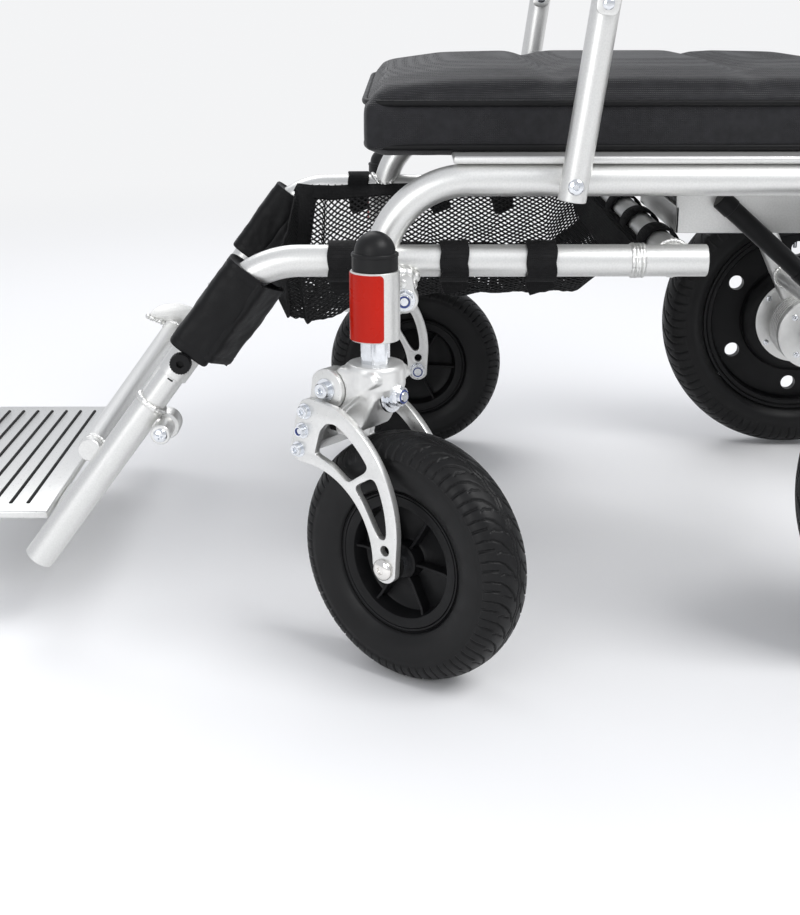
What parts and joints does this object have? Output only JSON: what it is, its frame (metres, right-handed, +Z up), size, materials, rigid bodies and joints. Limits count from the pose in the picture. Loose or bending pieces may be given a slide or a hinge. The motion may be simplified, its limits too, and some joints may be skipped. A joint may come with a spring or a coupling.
{
  "type": "folding power wheelchair",
  "caption": "Folding power wheelchair with silver tube frame, sprung swivelling casters with plate arms, hub motor rear wheels, net basket, padded seat and back, armrests and joystick",
  "frame": {"origin": "centre of the floor area under the bounding box, on the floor", "axes": "the chair faces -Y, +X is the user's left side, +Z is up"},
  "size_m": [0.7337, 1.0991, 0.9215],
  "materials": {
    "back_cushion": "black woven cloth",
    "back_frame": "silver-grey paint, satin",
    "base_cross_tube": "silver-grey paint, satin",
    "basket": "black open net with bound edges",
    "battery": "moulded, fine grain",
    "calf_panel": "black leatherette, grained",
    "controller": "moulded, fine grain",
    "fold_strut_rod": "zinc plated, fine turned marks",
    "fold_strut_tube": "moulded, fine grain",
    "footplate": "silver-grey paint, satin",
    "footrest_frame": "silver-grey paint, satin",
    "horn_button": "moulded, fine grain",
    "joystick": "moulded, fine grain",
    "joystick_gimbal": "moulded, fine grain",
    "left_arm_beam": "silver-grey paint, satin",
    "left_arm_block": "silver-grey paint, satin",
    "left_arm_inner_plate": "machined and clear anodised",
    "left_arm_outer_plate": "machined and clear anodised",
    "left_arm_pad": "moulded, fine grain",
    "left_arm_post": "silver-grey paint, satin",
    "left_axle_bolt": "zinc plated, fine turned marks",
    "left_brake_lever": "moulded, fine grain",
    "left_caster_housing": "silver-grey paint, satin",
    "left_caster_rim": "moulded, fine grain",
    "left_caster_tyre": "soft black rubber",
    "left_drive_hub": "moulded, fine grain",
    "left_drive_tyre": "soft black rubber",
    "left_fork_head": "silver-grey paint, satin",
    "left_housing_cap": "moulded, fine grain",
    "left_leg_screw": "moulded, fine grain",
    "left_rear_leg": "silver-grey paint, satin",
    "left_rubber_block": "matt elastomer",
    "left_side_tube": "silver-grey paint, satin",
    "left_tip_wheel": "matt elastomer",
    "left_upper_rail": "silver-grey paint, satin",
    "power_button": "moulded, fine grain",
    "rear_cross_tube": "silver-grey paint, satin",
    "right_arm_beam": "silver-grey paint, satin",
    "right_arm_block": "silver-grey paint, satin",
    "right_arm_inner_plate": "machined and clear anodised",
    "right_arm_outer_plate": "machined and clear anodised",
    "right_arm_pad": "moulded, fine grain",
    "right_arm_post": "silver-grey paint, satin",
    "right_axle_bolt": "zinc plated, fine turned marks",
    "right_brake_lever": "moulded, fine grain",
    "right_caster_housing": "silver-grey paint, satin",
    "right_caster_rim": "moulded, fine grain",
    "right_caster_tyre": "soft black rubber",
    "right_drive_hub": "moulded, fine grain",
    "right_drive_tyre": "soft black rubber",
    "right_fork_head": "silver-grey paint, satin",
    "right_housing_cap": "moulded, fine grain",
    "right_leg_screw": "moulded, fine grain",
    "right_rear_leg": "silver-grey paint, satin",
    "right_rubber_block": "matt elastomer",
    "right_side_tube": "silver-grey paint, satin",
    "right_tip_wheel": "matt elastomer",
    "right_upper_rail": "silver-grey paint, satin",
    "seat_cushion": "black woven cloth",
    "seat_pan": "silver-grey paint, satin"
  },
  "bodies": {
    "frame": {"base_cross_tube": "base_cross_tube", "seat_pan": "seat_pan", "seat_cushion": "seat_cushion", "basket": "basket", "calf_panel": "calf_panel", "left_side_tube": "left_side_tube", "left_leg_screw": "left_leg_screw", "left_upper_rail": "left_upper_rail", "left_caster_housing": "left_caster_housing", "left_housing_cap": "left_housing_cap", "right_side_tube": "right_side_tube", "right_leg_screw": "right_leg_screw", "right_upper_rail": "right_upper_rail", "right_caster_housing": "right_caster_housing", "right_housing_cap": "right_housing_cap"},
    "rear_frame": {"left_rear_leg": "left_rear_leg", "right_rear_leg": "right_rear_leg", "rear_cross_tube": "rear_cross_tube"},
    "strut_tube": {"fold_strut_tube": "fold_strut_tube"},
    "strut_rod": {"fold_strut_rod": "fold_strut_rod"},
    "back": {"back_frame": "back_frame", "back_cushion": "back_cushion"},
    "battery_pack": {"battery": "battery"},
    "footrest": {"footrest_frame": "footrest_frame"},
    "foot_flap": {"footplate": "footplate"},
    "left_fork": {"left_fork_head": "left_fork_head", "left_rubber_block": "left_rubber_block"},
    "left_trailing_arm": {"left_arm_outer_plate": "left_arm_outer_plate", "left_arm_inner_plate": "left_arm_inner_plate", "left_arm_block": "left_arm_block", "left_axle_bolt": "left_axle_bolt"},
    "left_caster_wheel": {"left_caster_rim": "left_caster_rim", "left_caster_tyre": "left_caster_tyre"},
    "left_drive_wheel": {"left_drive_hub": "left_drive_hub", "left_drive_tyre": "left_drive_tyre"},
    "left_tip_roller": {"left_tip_wheel": "left_tip_wheel"},
    "left_lever": {"left_brake_lever": "left_brake_lever"},
    "left_armrest": {"left_arm_beam": "left_arm_beam", "left_arm_pad": "left_arm_pad"},
    "left_post": {"left_arm_post": "left_arm_post"},
    "right_fork": {"right_fork_head": "right_fork_head", "right_rubber_block": "right_rubber_block"},
    "right_trailing_arm": {"right_arm_outer_plate": "right_arm_outer_plate", "right_arm_inner_plate": "right_arm_inner_plate", "right_arm_block": "right_arm_block", "right_axle_bolt": "right_axle_bolt"},
    "right_caster_wheel": {"right_caster_rim": "right_caster_rim", "right_caster_tyre": "right_caster_tyre"},
    "right_drive_wheel": {"right_drive_hub": "right_drive_hub", "right_drive_tyre": "right_drive_tyre"},
    "right_tip_roller": {"right_tip_wheel": "right_tip_wheel"},
    "right_lever": {"right_brake_lever": "right_brake_lever"},
    "right_armrest": {"right_arm_beam": "right_arm_beam", "right_arm_pad": "right_arm_pad", "controller": "controller"},
    "right_post": {"right_arm_post": "right_arm_post"},
    "gimbal": {"joystick_gimbal": "joystick_gimbal"},
    "stick": {"joystick": "joystick"},
    "power_key": {"power_button": "power_button"},
    "horn_key": {"horn_button": "horn_button"}
  },
  "joints": [
    {"name": "frame_fold", "type": "hinge", "parent": "frame", "child": "rear_frame", "pos_m": [-0.0257, 0.2468, 0.3797], "axis": [-1, 0, 0], "range_deg": [0, 40]},
    {"name": "strut_swing", "type": "hinge", "parent": "frame", "child": "strut_tube", "pos_m": [0.0863, 0.1748, 0.345], "axis": [-1, 0, 0], "range_deg": [0, 38.7]},
    {"name": "strut_slide", "type": "slide", "parent": "strut_tube", "child": "strut_rod", "axis": [0, 0.7552, -0.6555], "range_m": [-0.0547, 0]},
    {"name": "back_fold", "type": "hinge", "parent": "frame", "child": "back", "pos_m": [-0.0257, 0.3558, 0.51], "axis": [1, 0, 0], "range_deg": [0, 88]},
    {"name": "left_arm_tilt", "type": "hinge", "parent": "back", "child": "left_armrest", "pos_m": [0.2403, 0.37876, 0.67339], "axis": [1, 0, 0], "range_deg": [-88, 0]},
    {"name": "left_post_swing", "type": "hinge", "parent": "frame", "child": "left_post", "pos_m": [0.2403, 0.0258, 0.3797], "axis": [1, 0, 0], "range_deg": [0, 88]},
    {"name": "right_arm_tilt", "type": "hinge", "parent": "back", "child": "right_armrest", "pos_m": [-0.2917, 0.37876, 0.67339], "axis": [1, 0, 0], "range_deg": [-88, 0]},
    {"name": "right_post_swing", "type": "hinge", "parent": "frame", "child": "right_post", "pos_m": [-0.2917, 0.0258, 0.3797], "axis": [1, 0, 0], "range_deg": [0, 88]},
    {"name": "footrest_slide", "type": "slide", "parent": "frame", "child": "footrest", "axis": [0, -0.6018, -0.7986], "range_m": [0, 0.04]},
    {"name": "footplate_flip", "type": "hinge", "parent": "footrest", "child": "foot_flap", "pos_m": [-0.0257, -0.40557, 0.07278], "axis": [-1, 0, 0], "range_deg": [0, 95]},
    {"name": "left_caster_swivel", "type": "hinge", "parent": "frame", "child": "left_fork", "pos_m": [0.2708, -0.1252, 0.295], "axis": [0, 0, 1], "continuous": true},
    {"name": "left_suspension", "type": "hinge", "parent": "left_fork", "child": "left_trailing_arm", "pos_m": [0.25336, -0.14736, 0.229], "axis": [0.7859, -0.6184, 0], "range_deg": [0, 6], "stiffness_Nm_per_rad": 260, "springref_deg": -3.44, "deforming": ["left_rubber_block"]},
    {"name": "left_caster_spin", "type": "hinge", "parent": "left_trailing_arm", "child": "left_caster_wheel", "pos_m": [0.29331, -0.09659, 0.1], "axis": [0.7859, -0.6184, 0], "continuous": true},
    {"name": "left_drive_spin", "type": "hinge", "parent": "rear_frame", "child": "left_drive_wheel", "pos_m": [0.2803, 0.3548, 0.155], "axis": [1, 0, 0], "continuous": true},
    {"name": "left_tip_spin", "type": "hinge", "parent": "rear_frame", "child": "left_tip_roller", "pos_m": [0.2103, 0.4448, 0.07], "axis": [1, 0, 0], "continuous": true},
    {"name": "left_brake_release", "type": "hinge", "parent": "rear_frame", "child": "left_lever", "pos_m": [0.1758, 0.3548, 0.155], "axis": [1, 0, 0], "range_deg": [0, 40]},
    {"name": "right_caster_swivel", "type": "hinge", "parent": "frame", "child": "right_fork", "pos_m": [-0.3222, -0.1252, 0.295], "axis": [0, 0, 1], "continuous": true},
    {"name": "right_suspension", "type": "hinge", "parent": "right_fork", "child": "right_trailing_arm", "pos_m": [-0.32092, -0.15337, 0.229], "axis": [0.999, 0.0454, 0], "range_deg": [0, 6], "stiffness_Nm_per_rad": 260, "springref_deg": -3.44, "deforming": ["right_rubber_block"]},
    {"name": "right_caster_spin", "type": "hinge", "parent": "right_trailing_arm", "child": "right_caster_wheel", "pos_m": [-0.32385, -0.08884, 0.1], "axis": [0.999, 0.0454, 0], "continuous": true},
    {"name": "right_drive_spin", "type": "hinge", "parent": "rear_frame", "child": "right_drive_wheel", "pos_m": [-0.3317, 0.3548, 0.155], "axis": [1, 0, 0], "continuous": true},
    {"name": "right_tip_spin", "type": "hinge", "parent": "rear_frame", "child": "right_tip_roller", "pos_m": [-0.2617, 0.4448, 0.07], "axis": [1, 0, 0], "continuous": true},
    {"name": "right_brake_release", "type": "hinge", "parent": "rear_frame", "child": "right_lever", "pos_m": [-0.2272, 0.3548, 0.155], "axis": [1, 0, 0], "range_deg": [0, 40]},
    {"name": "battery_slide", "type": "slide", "parent": "frame", "child": "battery_pack", "axis": [0, 1, 0], "range_m": [0, 0.2]},
    {"name": "stick_forward_back", "type": "hinge", "parent": "right_armrest", "child": "gimbal", "pos_m": [-0.2917, -0.0252, 0.7213], "axis": [1, 0, 0], "range_deg": [-18, 18], "stiffness_Nm_per_rad": 0.2},
    {"name": "stick_side_to_side", "type": "hinge", "parent": "gimbal", "child": "stick", "pos_m": [-0.2917, -0.0252, 0.7213], "axis": [0, 1, 0], "range_deg": [-18, 18], "stiffness_Nm_per_rad": 0.2},
    {"name": "power_press", "type": "slide", "parent": "right_armrest", "child": "power_key", "axis": [0, 0, -1], "range_m": [0, 0.0015], "stiffness_N_per_m": 300},
    {"name": "horn_press", "type": "slide", "parent": "right_armrest", "child": "horn_key", "axis": [0, 0, -1], "range_m": [0, 0.0015], "stiffness_N_per_m": 300}
  ],
  "couplings": [
    {"joint": "strut_swing", "follows": "frame_fold", "ratio": 0.96432},
    {"joint": "strut_slide", "follows": "frame_fold", "m_per_rad": -0.078125},
    {"joint": "left_arm_tilt", "follows": "back_fold", "ratio": -1},
    {"joint": "left_post_swing", "follows": "back_fold", "ratio": 1},
    {"joint": "right_arm_tilt", "follows": "back_fold", "ratio": -1},
    {"joint": "right_post_swing", "follows": "back_fold", "ratio": 1}
  ]
}
